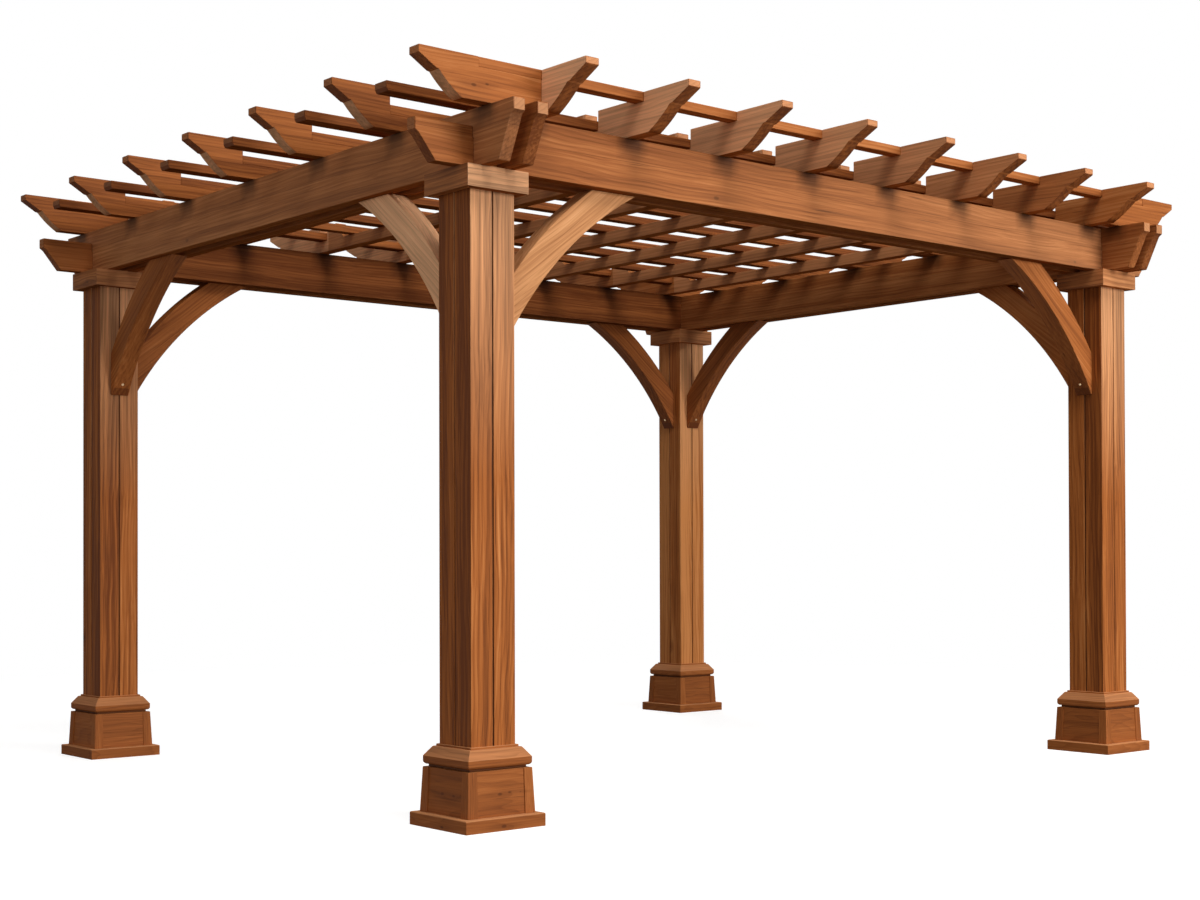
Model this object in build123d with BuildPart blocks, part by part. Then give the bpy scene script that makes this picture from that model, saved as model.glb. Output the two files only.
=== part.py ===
"""Open timber pergola on four square posts.

Frame: +Z up, origin at the centre of the footprint on the ground. X runs along the battens,
Y along the rafters. "left" is -X, "right" +X, "front" -Y, "back" +Y. All sizes in mm.
"""

import os
from math import sqrt

from build123d import *

# Plan and heights
SPAN_X = 3660.0  # post centre to post centre along X
SPAN_Y = 2940.0  # post centre to post centre along Y
BEAM_SEAT = 2273.0  # ground to the underside of the beams
POST_SIDE = 190.0

# Plinth round each post foot: board, tapered box, moulded collar
BOARD_SIDE = 338.0
BOARD_HEIGHT = 46.0
BOARD_EDGE = 5.0
BOX_FOOT_SIDE = 288.0
BOX_HEAD_SIDE = 273.0
BOX_HEIGHT = 157.0
BOX_WALL = 22.0
STILE_WIDTH = 36.0
PANEL_RECESS = 4.0
COLLAR_NECK_SIDE = 244.0
COLLAR_NECK_HEIGHT = 9.0
COLLAR_SIDE = 273.0
COLLAR_BAND = 29.0
COLLAR_ROUND = 12.0
COLLAR_HEAD_SIDE = 223.0
COLLAR_SLOPE = 34.0
BEAD_WIDTH = 8.0
BEAD_HEIGHT = 8.0

# Capital round each post head
CAPITAL_SIDE = 262.0
CAPITAL_HEIGHT = 78.0

# Paired beam planks
BEAM_HEIGHT = 200.0
BEAM_THICKNESS = 50.0
GAP_X_PAIR = 70.0  # between the two planks that run along X
GAP_Y_PAIR = 50.0  # between the two planks that run along Y
BEAM_OVERHANG = 315.0  # post centre to plank tip
BEAM_NOSE = 42.0
BEAM_LIP_RUN = 16.0
BEAM_LIP_DROP = 12.0
BEAM_TAPER = 84.0  # tip back to where the underside runs level
X_TAIL_LOWERED = 60.0  # how far the top of the tails along X lies below the beam top

# Rafters, and the tail boards whose shaped end is the same but shorter
RAFTER_COUNT = 8
RAFTER_HEIGHT = 152.0
RAFTER_THICKNESS = 60.0
RAFTER_INSET = 180.0  # post centre in to the centre of the end rafter
RAFTER_OVERHANG = 420.0  # post centre to rafter tip
RAFTER_END_RUN = 216.0  # tip back to where the underside runs level
TAIL_OVERHANG = 365.0  # post centre to tail board tip
TAIL_THICKNESS = 58.0
TAIL_END_RUN = 174.0
END_NOSE = 26.0
END_SLOPE_DROP = 42.0
END_STEP_DROP = 2.0
END_SLOPE_SHARE = 0.4  # of the end's run
END_STEP_SHARE = 0.06
END_CURVE_SAGITTA = 5.0
HEAD_STEP = 20.0  # drop of a rafter's top behind the outer batten
HEAD_REACH = 240.0  # post centre in to the end of a rafter's deep head
HEAD_SLOPE = 70.0  # run from the head down to the shallower middle of the rafter

# Battens: the outer two are let into the rafter heads, the others lie on the middle of the rafters
ROW_COUNT = 7
ROW_OVERHANG = 153.0  # post centre out to the outer rows
BATTEN_HEIGHT = 35.0
BATTEN_WIDTH = 54.0  # in line with the tail boards
BATTEN_OVERHANG = 120.0  # post centre to the end, which is let into the tail board
FIELD_LOWERED = 60.0  # tail board tops down to the tops of the battens over the middle
BAR_WIDTH = 74.0  # the wider bars halfway between the rows
BAR_OVERHANG = 320.0  # post centre to bar tip
BAR_NOSE = 22.0
BAR_BEVEL = 7.0

# Arched braces between posts and beams
BRACE_DROP = 583.0  # beam underside down to the toe
BRACE_REACH = 610.0  # post face out to the tip
BRACE_TOE = 7.0  # width of the blunt toe
BRACE_RADIUS = 1500.0
BRACE_DEPTH = 110.0
BRACE_THICKNESS = 86.0

# Levels and positions that follow from the sizes above
HALF_X = SPAN_X / 2
HALF_Y = SPAN_Y / 2
BEAM_TOP = BEAM_SEAT + BEAM_HEIGHT
RAFTER_TOP = BEAM_TOP + RAFTER_HEIGHT
FIELD_TOP = RAFTER_TOP - FIELD_LOWERED
FIELD_SEAT = FIELD_TOP - BATTEN_HEIGHT
X_PAIR_OFFSET = (GAP_X_PAIR + BEAM_THICKNESS) / 2
Y_PAIR_OFFSET = (GAP_Y_PAIR + BEAM_THICKNESS) / 2
END_RAFTER_X = HALF_X - RAFTER_INSET
RAFTER_PITCH = 2 * END_RAFTER_X / (RAFTER_COUNT - 1)
RAFTER_XS = [i * RAFTER_PITCH - END_RAFTER_X for i in range(RAFTER_COUNT)]
OUTER_ROW_Y = HALF_Y + ROW_OVERHANG
ROW_PITCH = 2 * OUTER_ROW_Y / (ROW_COUNT - 1)
ROW_YS = [i * ROW_PITCH - OUTER_ROW_Y for i in range(ROW_COUNT)]
BAR_YS = [y + ROW_PITCH / 2 for y in ROW_YS[:-1]]
OUTER_ROWS = (ROW_YS[0], ROW_YS[-1])  # their battens lie as high as the tail board tops
POSTS = {
    "left_front": (-1, -1),
    "right_front": (1, -1),
    "left_back": (-1, 1),
    "right_back": (1, 1),
}


def finish(part: Part, name: str) -> None:
    """Label a finished piece and write its STEP file."""
    part.label = name
    export_step(part, f"parts/{name}.step")


def square_ring(outline: list[tuple[float, float]], x: float, y: float) -> None:
    """Make a mitred square moulding round the post at x, y in the active part.

    outline gives (half width, height) from the bottom up. The post's own square is left open.
    """
    section = outline + [(-half, z) for half, z in reversed(outline)]
    reach = max(half for half, _ in outline)
    with BuildSketch(Plane.XZ.offset(-y)) as along_x:
        with BuildLine():
            Polyline([(x + half, z) for half, z in section], close=True)
        make_face()
    extrude(along_x.sketch, amount=reach, both=True)
    with BuildSketch(Plane.YZ.offset(x)) as along_y:
        with BuildLine():
            Polyline([(y + half, z) for half, z in section], close=True)
        make_face()
    extrude(along_y.sketch, amount=reach, both=True, mode=Mode.INTERSECT)
    with BuildSketch(Plane.XY) as opening:
        with Locations((x, y)):
            Rectangle(POST_SIDE, POST_SIDE)
    extrude(opening.sketch, amount=BEAM_SEAT, mode=Mode.SUBTRACT)


def shaped_end(tip: float, run: float, straight_to: float) -> None:
    """Outline a board end that points towards +x and is shaped over a run back from its tip.

    The straight part of the board runs back to x = straight_to.
    """
    nose = (tip, RAFTER_TOP - END_NOSE)
    slope = (tip - END_SLOPE_SHARE * run, nose[1] - END_SLOPE_DROP)
    step = (slope[0] - END_STEP_SHARE * run, slope[1] - END_STEP_DROP)
    foot = (tip - run, BEAM_TOP)
    Polyline((straight_to, RAFTER_TOP), (tip, RAFTER_TOP), nose, slope, step)
    SagittaArc(step, foot, END_CURVE_SAGITTA)
    Line(foot, (straight_to, BEAM_TOP))


def plank_outline(half_span: float, lowered: float, shoulder: float) -> list[tuple[float, float]]:
    """Outline of a beam plank with a sloping tail past each post centre, at +-half_span.

    Beyond x = +-shoulder the top of the tails lies lower than the beam top.
    """
    tip = half_span + BEAM_OVERHANG
    top = BEAM_TOP - lowered
    nose = (tip, top - BEAM_NOSE)
    lip = (tip - BEAM_LIP_RUN, nose[1] - BEAM_LIP_DROP)
    half = [(tip, top), nose, lip, (tip - BEAM_TAPER, BEAM_SEAT)]
    if lowered:
        half = [(shoulder, BEAM_TOP), (shoulder, top)] + half
    return half + [(-x, z) for x, z in reversed(half)]


def brace_section(post: float, side: int) -> None:
    """Sketch an arched brace that leaves the post at local x = post towards the middle.

    The brace is a slice of a ring, cut off at the post face, the beam underside and the toe.
    """
    face = POST_SIDE / 2
    toe = Vector(face + BRACE_TOE, BEAM_SEAT - BRACE_DROP)
    tip = Vector(face + BRACE_REACH, BEAM_SEAT)
    chord = tip - toe
    back = sqrt(BRACE_RADIUS**2 - (chord.length / 2) ** 2) / chord.length
    centre = (toe + tip) * 0.5 + Vector(chord.Y, -chord.X) * back
    with Locations((post - side * centre.X, centre.Y)):
        Circle(BRACE_RADIUS + BRACE_DEPTH)
        Circle(BRACE_RADIUS, mode=Mode.SUBTRACT)
    with Locations((post - side * (face + tip.X) / 2, (toe.Y + tip.Y) / 2)):
        Rectangle(BRACE_REACH, BRACE_DROP, mode=Mode.INTERSECT)


os.makedirs("parts", exist_ok=True)

# Posts, each with its plinth, capital and two braces
box_seat = BOARD_HEIGHT
collar_seat = box_seat + BOX_HEIGHT
band_foot = collar_seat + COLLAR_NECK_HEIGHT
band_head = band_foot + COLLAR_BAND
collar_head = band_head + COLLAR_SLOPE
bead_half = POST_SIDE / 2 + BEAD_WIDTH
for name, (side_x, side_y) in POSTS.items():
    x, y = side_x * HALF_X, side_y * HALF_Y

    with BuildPart() as post:
        with BuildSketch(Plane.XY):
            with Locations((x, y)):
                Rectangle(POST_SIDE, POST_SIDE)
        extrude(amount=BEAM_SEAT)
    finish(post.part, f"post_{name}")

    with BuildPart() as plinth_board:
        square_ring([(BOARD_SIDE / 2, 0), (BOARD_SIDE / 2, BOARD_HEIGHT)], x, y)
        rim = plinth_board.edges().group_by(Axis.Z)[-1].group_by(SortBy.LENGTH)[-1]
        fillet(rim, BOARD_EDGE)
    finish(plinth_board.part, f"plinth_board_{name}")

    with BuildPart() as plinth_box:
        for inset, mode in ((0, Mode.ADD), (BOX_WALL, Mode.SUBTRACT)):
            with BuildSketch(Plane.XY.offset(box_seat)):
                with Locations((x, y)):
                    Rectangle(BOX_FOOT_SIDE - 2 * inset, BOX_FOOT_SIDE - 2 * inset)
            with BuildSketch(Plane.XY.offset(box_seat + BOX_HEIGHT)):
                with Locations((x, y)):
                    Rectangle(BOX_HEAD_SIDE - 2 * inset, BOX_HEAD_SIDE - 2 * inset)
            loft(mode=mode)
            if mode == Mode.ADD:
                walls = plinth_box.faces().filter_by(Axis.Z, reverse=True)
        for wall in walls:
            out = wall.normal_at()
            across = Vector(0, 0, 1).cross(out)
            with BuildSketch(Plane(wall.center(), x_dir=across, z_dir=out)):
                Rectangle(BOX_HEAD_SIDE - 2 * STILE_WIDTH, 2 * BOX_HEIGHT)
            extrude(amount=-PANEL_RECESS, mode=Mode.SUBTRACT)
    finish(plinth_box.part, f"plinth_box_{name}")

    with BuildPart() as plinth_collar:
        profile = [
            (COLLAR_NECK_SIDE / 2, collar_seat),
            (COLLAR_NECK_SIDE / 2, band_foot),
            (COLLAR_SIDE / 2, band_foot),
            (COLLAR_SIDE / 2, band_head),
            (COLLAR_HEAD_SIDE / 2, collar_head),
            (bead_half, collar_head),
            (bead_half, collar_head + BEAD_HEIGHT),
        ]
        square_ring(profile, x, y)
        underside = plinth_collar.edges().filter_by_position(Axis.Z, band_foot, band_foot)
        fillet(underside.group_by(SortBy.LENGTH)[-1], COLLAR_ROUND)
    finish(plinth_collar.part, f"plinth_collar_{name}")

    with BuildPart() as capital:
        half = CAPITAL_SIDE / 2
        square_ring([(half, BEAM_SEAT - CAPITAL_HEIGHT), (half, BEAM_SEAT)], x, y)
    finish(capital.part, f"capital_{name}")

    with BuildPart() as braces:
        with BuildSketch(Plane.XZ.offset(-y)):
            brace_section(x, side_x)
        extrude(amount=BRACE_THICKNESS / 2, both=True)
        with BuildSketch(Plane.YZ.offset(x)):
            brace_section(y, side_y)
        extrude(amount=BRACE_THICKNESS / 2, both=True)
    finish(braces.part, f"braces_{name}")

# Planks along X: the outer one of each pair has lowered tails and is notched from above at the
# corners, the inner one fits between the planks that run along Y
lap = BEAM_HEIGHT / 2
outer_face = HALF_X + Y_PAIR_OFFSET + BEAM_THICKNESS / 2
for name, side in (("front", -1), ("back", 1)):
    with BuildPart() as outer_plank:
        with BuildSketch(Plane.XZ.offset(-side * (HALF_Y + X_PAIR_OFFSET))):
            with BuildLine():
                Polyline(plank_outline(HALF_X, X_TAIL_LOWERED, outer_face), close=True)
            make_face()
            for post in (-HALF_X, HALF_X):
                with Locations(
                    (post - Y_PAIR_OFFSET, BEAM_TOP - lap / 2),
                    (post + Y_PAIR_OFFSET, BEAM_TOP - lap / 2),
                ):
                    Rectangle(BEAM_THICKNESS, lap, mode=Mode.SUBTRACT)
        extrude(amount=BEAM_THICKNESS / 2, both=True)
    finish(outer_plank.part, f"beam_{name}_outer")

    with BuildPart() as inner_plank:
        length = SPAN_X - 2 * Y_PAIR_OFFSET - BEAM_THICKNESS
        with BuildSketch(Plane.XZ.offset(-side * (HALF_Y - X_PAIR_OFFSET))):
            with Locations((0, (BEAM_SEAT + BEAM_TOP) / 2)):
                Rectangle(length, BEAM_HEIGHT)
        extrude(amount=BEAM_THICKNESS / 2, both=True)
    finish(inner_plank.part, f"beam_{name}_inner")

# Planks along Y: both of each pair have tails and are notched from below
for name, side in (("left", -1), ("right", 1)):
    for row, offset in (("outer", Y_PAIR_OFFSET), ("inner", -Y_PAIR_OFFSET)):
        with BuildPart() as plank:
            with BuildSketch(Plane.YZ.offset(side * (HALF_X + offset))):
                with BuildLine():
                    Polyline(plank_outline(HALF_Y, 0, 0), close=True)
                make_face()
                crossing = HALF_Y + X_PAIR_OFFSET
                with Locations(
                    (-crossing, BEAM_SEAT + lap / 2), (crossing, BEAM_SEAT + lap / 2)
                ):
                    Rectangle(BEAM_THICKNESS, lap, mode=Mode.SUBTRACT)
            extrude(amount=BEAM_THICKNESS / 2, both=True)
        finish(plank.part, f"beam_{name}_{row}")

# Rafters: a deep head at each end, notched from above for the battens that cross it, and a
# shallower middle that carries the other battens
head = HALF_Y - HEAD_REACH
outer_batten_back = OUTER_ROW_Y - BATTEN_WIDTH / 2
for i, x in enumerate(RAFTER_XS):
    with BuildPart() as rafter:
        with BuildSketch(Plane.YZ.offset(x)):
            with BuildLine():
                shaped_end(HALF_Y + RAFTER_OVERHANG, RAFTER_END_RUN, 0)
                mirror(about=Plane.YZ)
            make_face()
            with BuildLine():
                Polyline(
                    (0, RAFTER_TOP),
                    (outer_batten_back, RAFTER_TOP),
                    (outer_batten_back, RAFTER_TOP - HEAD_STEP),
                    (head, RAFTER_TOP - HEAD_STEP),
                    (head - HEAD_SLOPE, FIELD_SEAT),
                    (0, FIELD_SEAT),
                )
                mirror(about=Plane.YZ)
            make_face(mode=Mode.SUBTRACT)
            with Locations([(y, RAFTER_TOP - BATTEN_HEIGHT / 2) for y in OUTER_ROWS]):
                Rectangle(BATTEN_WIDTH, BATTEN_HEIGHT, mode=Mode.SUBTRACT)
            for width, rows in ((BATTEN_WIDTH, ROW_YS[1:-1]), (BAR_WIDTH, BAR_YS)):
                with Locations([(y, (FIELD_SEAT + RAFTER_TOP) / 2) for y in rows]):
                    Rectangle(width, RAFTER_TOP - FIELD_SEAT, mode=Mode.SUBTRACT)
        extrude(amount=RAFTER_THICKNESS / 2, both=True)
    finish(rafter.part, f"rafter_{i + 1}")

# Battens: the rows end on the tail boards, the bars between them run on past the beams
batten_tip = HALF_X + BATTEN_OVERHANG
bar_tip = HALF_X + BAR_OVERHANG
with BuildPart() as battens:
    for y in ROW_YS:
        top = RAFTER_TOP if y in OUTER_ROWS else FIELD_TOP
        with BuildSketch(Plane.XZ.offset(-y)):
            with Locations((0, top - BATTEN_HEIGHT / 2)):
                Rectangle(2 * batten_tip, BATTEN_HEIGHT)
        extrude(amount=BATTEN_WIDTH / 2, both=True)
    for y in BAR_YS:
        with BuildSketch(Plane.XZ.offset(-y)):
            with BuildLine():
                Polyline(
                    (0, FIELD_TOP),
                    (bar_tip, FIELD_TOP),
                    (bar_tip, FIELD_TOP - BAR_NOSE),
                    (bar_tip - BAR_BEVEL, FIELD_SEAT),
                    (0, FIELD_SEAT),
                )
                mirror(about=Plane.YZ)
            make_face()
        extrude(amount=BAR_WIDTH / 2, both=True)
finish(battens.part, "battens")

# Tail boards: on the planks along Y, butted against the outer rafters in line with the rows
# and lowered at the top for the ends of the battens
rafter_face = END_RAFTER_X + RAFTER_THICKNESS / 2
for name, side in (("left", -1), ("right", 1)):
    with BuildPart() as tail_boards:
        for y in ROW_YS:
            seat = RAFTER_TOP - BATTEN_HEIGHT if y in OUTER_ROWS else FIELD_SEAT
            with BuildSketch(Plane.XZ.offset(-y)):
                with BuildLine():
                    shaped_end(HALF_X + TAIL_OVERHANG, TAIL_END_RUN, rafter_face)
                    Line((rafter_face, BEAM_TOP), (rafter_face, RAFTER_TOP))
                make_face()
                with Locations(((rafter_face + batten_tip) / 2, (seat + RAFTER_TOP) / 2)):
                    Rectangle(batten_tip - rafter_face, RAFTER_TOP - seat, mode=Mode.SUBTRACT)
                if side < 0:
                    mirror(about=Plane.YZ, mode=Mode.REPLACE)
            extrude(amount=TAIL_THICKNESS / 2, both=True)
    finish(tail_boards.part, f"tail_boards_{name}")
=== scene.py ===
"""Dress the timber pergola: rounded edges, grain that follows every board, screws and studio."""

import logging
import math
import random
from dataclasses import dataclass, field, replace
from enum import Enum
from typing import Callable, Iterator

import bmesh
import bpy
from mathutils import Matrix, Vector
from mathutils.bvhtree import BVHTree


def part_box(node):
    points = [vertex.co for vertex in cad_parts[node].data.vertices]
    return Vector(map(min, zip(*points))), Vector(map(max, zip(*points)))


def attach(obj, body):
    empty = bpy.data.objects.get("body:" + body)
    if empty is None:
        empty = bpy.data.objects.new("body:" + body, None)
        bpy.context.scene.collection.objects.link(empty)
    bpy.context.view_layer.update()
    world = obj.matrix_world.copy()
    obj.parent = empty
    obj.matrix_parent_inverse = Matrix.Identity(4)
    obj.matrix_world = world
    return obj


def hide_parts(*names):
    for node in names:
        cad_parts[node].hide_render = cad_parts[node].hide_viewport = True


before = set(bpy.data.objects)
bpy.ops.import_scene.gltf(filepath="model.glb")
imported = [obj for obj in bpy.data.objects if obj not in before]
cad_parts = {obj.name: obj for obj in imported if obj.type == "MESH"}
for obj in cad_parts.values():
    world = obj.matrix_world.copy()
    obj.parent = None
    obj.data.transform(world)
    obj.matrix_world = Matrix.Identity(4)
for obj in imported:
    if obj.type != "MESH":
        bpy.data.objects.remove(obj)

BODY = "root"
WELD = 1e-5
FLAT_ANGLE = math.radians(0.3)
SHARP_ANGLE = math.radians(34)
# Least share of a face's normal along the fibres at a sawn end, and at a sloped cut.
SAWN_END, SLOPE = 0.97, 0.35
# How pale sawn ends are, and those that face left, which are kept less pale as painted shade on the side
# away from the lamps.
END_PALE, LEFT_END_PALE = 0.35, 0.1
# Heights between which the painted light on high faces turned to the front grows.
TOP_LIGHT_LOW, TOP_LIGHT_HIGH = 1.2, 2.3
# Half the distance between the posts' middles along X.
SPAN_HALF = 1.83
# Thickness of a tail board, and how many rows of them there are.
TAIL_THICKNESS, ROW_COUNT = 0.058, 7
WHITE = (1.0, 1.0, 1.0, 1.0)
Rgb = tuple[int, int, int]
Triple = tuple[float, float, float]
Socket = bpy.types.NodeSocket
log = logging.getLogger("pergola")
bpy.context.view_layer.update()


class Fibre(Enum):
    """Directions in which the fibres of a board may run."""

    X = (1.0, 0.0, 0.0)
    Y = (0.0, 1.0, 0.0)
    Z = (0.0, 0.0, 1.0)

    @property
    def vector(self) -> Vector:
        """The direction as a vector."""
        return Vector(self.value)


class Side(Enum):
    """Corner posts by the name that the frame gives them, with their signs along X and Y."""

    LEFT_FRONT = (-1, -1)
    RIGHT_FRONT = (1, -1)
    LEFT_BACK = (-1, 1)
    RIGHT_BACK = (1, 1)

    @property
    def label(self) -> str:
        """The name used in the frame's node names."""
        return self.name.lower()


def linear(red: int, green: int, blue: int) -> tuple[float, float, float, float]:
    """Turn a display colour into the linear one that a shader takes.

    Args:
        red: Red from 0 to 255.
        green: Green from 0 to 255.
        blue: Blue from 0 to 255.

    Returns:
        Linear red, green, blue and an alpha of 1.
    """

    def channel(value: int) -> float:
        """Turn one display value into a linear one."""
        share = value / 255
        return share / 12.92 if share <= 0.04045 else ((share + 0.055) / 1.055) ** 2.4

    return channel(red), channel(green), channel(blue), 1.0


@dataclass(frozen=True)
class Streaks:
    """One layer of streaks in the wood: how many to a metre, how detailed and how strong."""

    along: float
    across: float
    detail: float
    roughness: float = 0.5
    strength: float = 1.0


BROAD = Streaks(0.5, 17.0, 2.0, strength=1.1)
BANDS = Streaks(1.1, 70.0, 4.0, 0.62, strength=1.5)
FINE = Streaks(5.0, 480.0, 2.0, 0.6, strength=0.5)
THIN_LINES = Streaks(1.6, 130.0, 1.0)
RING_WANDER = Streaks(2.4, 11.0, 2.0, strength=0.028)


class Graph:
    """Adds shader nodes to the tree of one material or world and joins them."""

    def __init__(self, owner: bpy.types.Material | bpy.types.World) -> None:
        """Start an empty node tree.

        Args:
            owner: The new material or world.
        """
        owner.use_nodes = True
        self.tree = owner.node_tree
        self.tree.nodes.clear()

    def add(self, kind: str, inputs: dict | None = None, **settings: object) -> bpy.types.Node:
        """Add one node.

        Args:
            kind: Node type, without the ShaderNode in front.
            inputs: Values or sockets by input name or number.
            settings: Node properties.

        Returns:
            The new node.
        """
        node = self.tree.nodes.new("ShaderNode" + kind)
        for key, value in settings.items():
            setattr(node, key, value)
        for key, value in (inputs or {}).items():
            if isinstance(value, Socket):
                self.tree.links.new(value, node.inputs[key])
            else:
                node.inputs[key].default_value = value
        return node

    def math(self, operation: str, *values: object) -> Socket:
        """Add a Math node and return its result."""
        return self.add("Math", dict(enumerate(values)), operation=operation).outputs[0]

    def vector(self, operation: str, *values: object) -> Socket:
        """Add a Vector Math node and return the vector that it gives."""
        return self.add("VectorMath", dict(enumerate(values)), operation=operation).outputs["Vector"]

    def length(self, vector: Socket) -> Socket:
        """Return the length of a vector."""
        return self.add("VectorMath", {0: vector}, operation="LENGTH").outputs["Value"]

    def split(self, vector: Socket) -> tuple[Socket, ...]:
        """Return the three parts of a vector."""
        return tuple(self.add("SeparateXYZ", {0: vector}).outputs)

    def join(self, *parts: object) -> Socket:
        """Return the vector made of three parts."""
        return self.add("CombineXYZ", dict(enumerate(parts))).outputs[0]

    def streaks(self, place: Socket, layer: Streaks) -> Socket:
        """Return a noise about 0.5 that is drawn out along the fibres."""
        drawn = self.vector("MULTIPLY", place, (layer.along, layer.across, layer.across))
        return self.noise(drawn, layer.detail, layer.roughness)

    def noise(self, place: Socket, detail: float, roughness: float = 0.5) -> Socket:
        """Return a noise about 0.5, read at a place that is scaled already."""
        inputs = {"Vector": place, "Scale": 1.0, "Detail": detail, "Roughness": roughness}
        return self.add("TexNoise", inputs).outputs["Fac"]

    def smooth(self, value: object, low: float, high: float) -> Socket:
        """Return a smooth step from 0 at low to 1 at high, which may lie below low."""
        inputs = {"Value": value, "From Min": low, "From Max": high}
        return self.add("MapRange", inputs, interpolation_type="SMOOTHSTEP", clamp=True).outputs[0]

    def mix(self, share: object, first: object, second: object) -> Socket:
        """Return the first colour with a share of the second laid over it."""
        return self.add("Mix", {0: share, 6: first, 7: second}, data_type="RGBA").outputs[2]

    def seen(self) -> Socket:
        """Tell the rays that show the background.

        Returns:
            1 for rays from the camera, also by way of a reflection or through glass, else 0.
        """
        path = self.add("LightPath").outputs
        seen = self.math("MAXIMUM", path["Is Camera Ray"], path["Is Glossy Ray"])
        return self.math("MAXIMUM", seen, path["Is Transmission Ray"])

    def show(self, shader: bpy.types.Node, output: str = "OutputMaterial") -> None:
        """Join the last shader to an output node of the type given."""
        self.add(output, {"Surface": shader.outputs[0]})


@dataclass(frozen=True)
class Knot:
    """A knot at a known place."""

    place: Triple
    radius: float
    fibre: Fibre


PLINTH_KNOTS = (
    Knot((-1.8335, -1.609, 0.1211), 0.007, Fibre.X),
    Knot((-1.792, -1.609, 0.1247), 0.006, Fibre.X),
    Knot((-1.7457, -1.609, 0.1224), 0.004, Fibre.X),
    Knot((-1.969, -1.4534, 0.119), 0.007, Fibre.Y),
    Knot((-1.969, -1.5199, 0.1172), 0.006, Fibre.Y),
    Knot((-1.8409, -1.639, 0.0156), 0.007, Fibre.X),
    Knot((-1.999, -1.4961, 0.0115), 0.006, Fibre.Y),
)
BEAM_KNOTS = (
    Knot((-1.905, 0.5479, 2.2992), 0.009, Fibre.Y),
    Knot((-0.7546, -1.555, 2.3063), 0.009, Fibre.X),
    Knot((1.5441, -1.555, 2.2927), 0.007, Fibre.X),
)
TAIL_KNOTS = (
    Knot((-1.972, -1.652, 2.5247), 0.007, Fibre.X),
    Knot((-1.9165, -1.652, 2.5351), 0.005, Fibre.X),
)


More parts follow.
